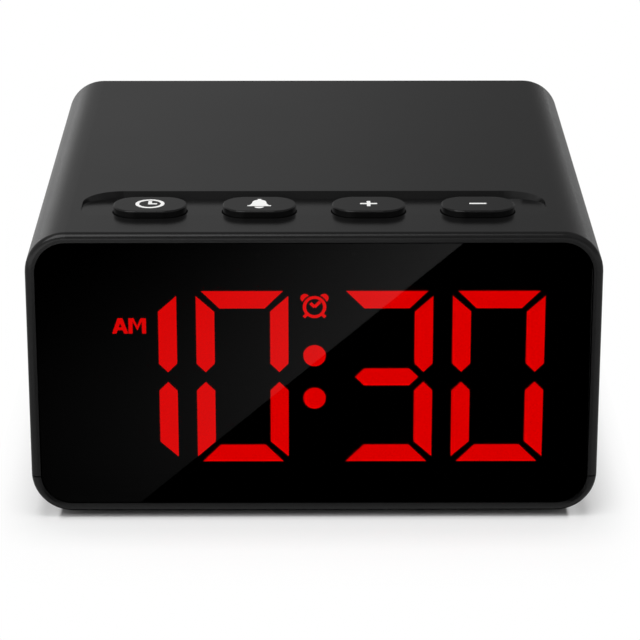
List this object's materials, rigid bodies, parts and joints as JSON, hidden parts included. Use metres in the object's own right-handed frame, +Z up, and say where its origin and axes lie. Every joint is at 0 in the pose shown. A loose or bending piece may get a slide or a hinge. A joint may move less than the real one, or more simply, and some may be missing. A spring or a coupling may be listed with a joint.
{
  "type": "digital led desk clock",
  "caption": "Box-shaped black desk clock with a smoked front window, red seven-segment digits, push buttons in a recess on top and a sliding battery door underneath.",
  "frame": {"origin": "on the table, under the middle of the case", "axes": "+Z up, the window faces -Y, +X to the right as seen from the front"},
  "size_m": [0.096, 0.0988, 0.052],
  "materials": {
    "case_plastic": "fine moulded texture",
    "button_plastic": "smooth satin",
    "mark_ink": "printed white",
    "window_acrylic": "smoked and polished",
    "black_film": "printed black",
    "reflector_plastic": "moulded",
    "lit_segment": "lit red",
    "unlit_segment": "dark, unlit",
    "circuit_board": "solder mask",
    "chip_plastic": "moulded",
    "stem_plastic": "moulded",
    "led_lens": "clear resin",
    "tinned_metal": "tinned",
    "capacitor_sleeve": "shrink sleeve",
    "connector_plastic": "moulded",
    "ribbon_plastic": "ribbed sleeve",
    "cell_sleeve": "printed sleeve",
    "screw_steel": "zinc plated",
    "foot_rubber": "moulded"
  },
  "bodies": {
    "case": {"upper_housing": "case_plastic", "base_tray": "case_plastic", "rear_panel": "case_plastic", "front_window": "window_acrylic", "display_mask": "black_film", "window_tape": "black_film", "display_reflector": "reflector_plastic", "hour_tens_segments": "lit_segment", "hour_units_segments": "lit_segment", "minute_tens_segments": "lit_segment", "minute_units_segments": "lit_segment", "colon_dots": "lit_segment", "am_mark": "lit_segment", "alarm_mark": "lit_segment", "unlit_segments": "unlit_segment", "display_board": "circuit_board", "key_board": "circuit_board", "main_board": "circuit_board", "display_driver": "chip_plastic", "controller_chip": "chip_plastic", "buzzer": "chip_plastic", "socket_tongue": "chip_plastic", "switch_bodies": "chip_plastic", "led_chips": "led_lens", "crystal": "tinned_metal", "power_socket": "tinned_metal", "key_pins": "tinned_metal", "battery_contacts": "tinned_metal", "capacitor": "capacitor_sleeve", "cable_connectors": "connector_plastic", "ribbon_cable": "ribbon_plastic", "battery_cells": "cell_sleeve", "case_screws": "screw_steel", "board_screws": "screw_steel", "rubber_feet": "foot_rubber"},
    "time_key": {"time_button": "button_plastic", "time_switch_stem": "stem_plastic"},
    "alarm_key": {"alarm_button": "button_plastic", "alarm_switch_stem": "stem_plastic"},
    "plus_key": {"plus_button": "button_plastic", "plus_switch_stem": "stem_plastic"},
    "minus_key": {"minus_button": "button_plastic", "minus_switch_stem": "stem_plastic"},
    "door": {"battery_door": "case_plastic"}
  },
  "joints": [
    {"name": "time_press", "type": "slide", "parent": "case", "child": "time_key", "axis": [0, 0, -1], "range_m": [0, 0.0005], "stiffness_N_per_m": 800, "springref_m": -0.001},
    {"name": "alarm_press", "type": "slide", "parent": "case", "child": "alarm_key", "axis": [0, 0, -1], "range_m": [0, 0.0005], "stiffness_N_per_m": 800, "springref_m": -0.001},
    {"name": "plus_press", "type": "slide", "parent": "case", "child": "plus_key", "axis": [0, 0, -1], "range_m": [0, 0.0005], "stiffness_N_per_m": 800, "springref_m": -0.001},
    {"name": "minus_press", "type": "slide", "parent": "case", "child": "minus_key", "axis": [0, 0, -1], "range_m": [0, 0.0005], "stiffness_N_per_m": 800, "springref_m": -0.001},
    {"name": "door_slide", "type": "slide", "parent": "case", "child": "door", "axis": [0, 1, 0], "range_m": [0, 0.05]}
  ]
}
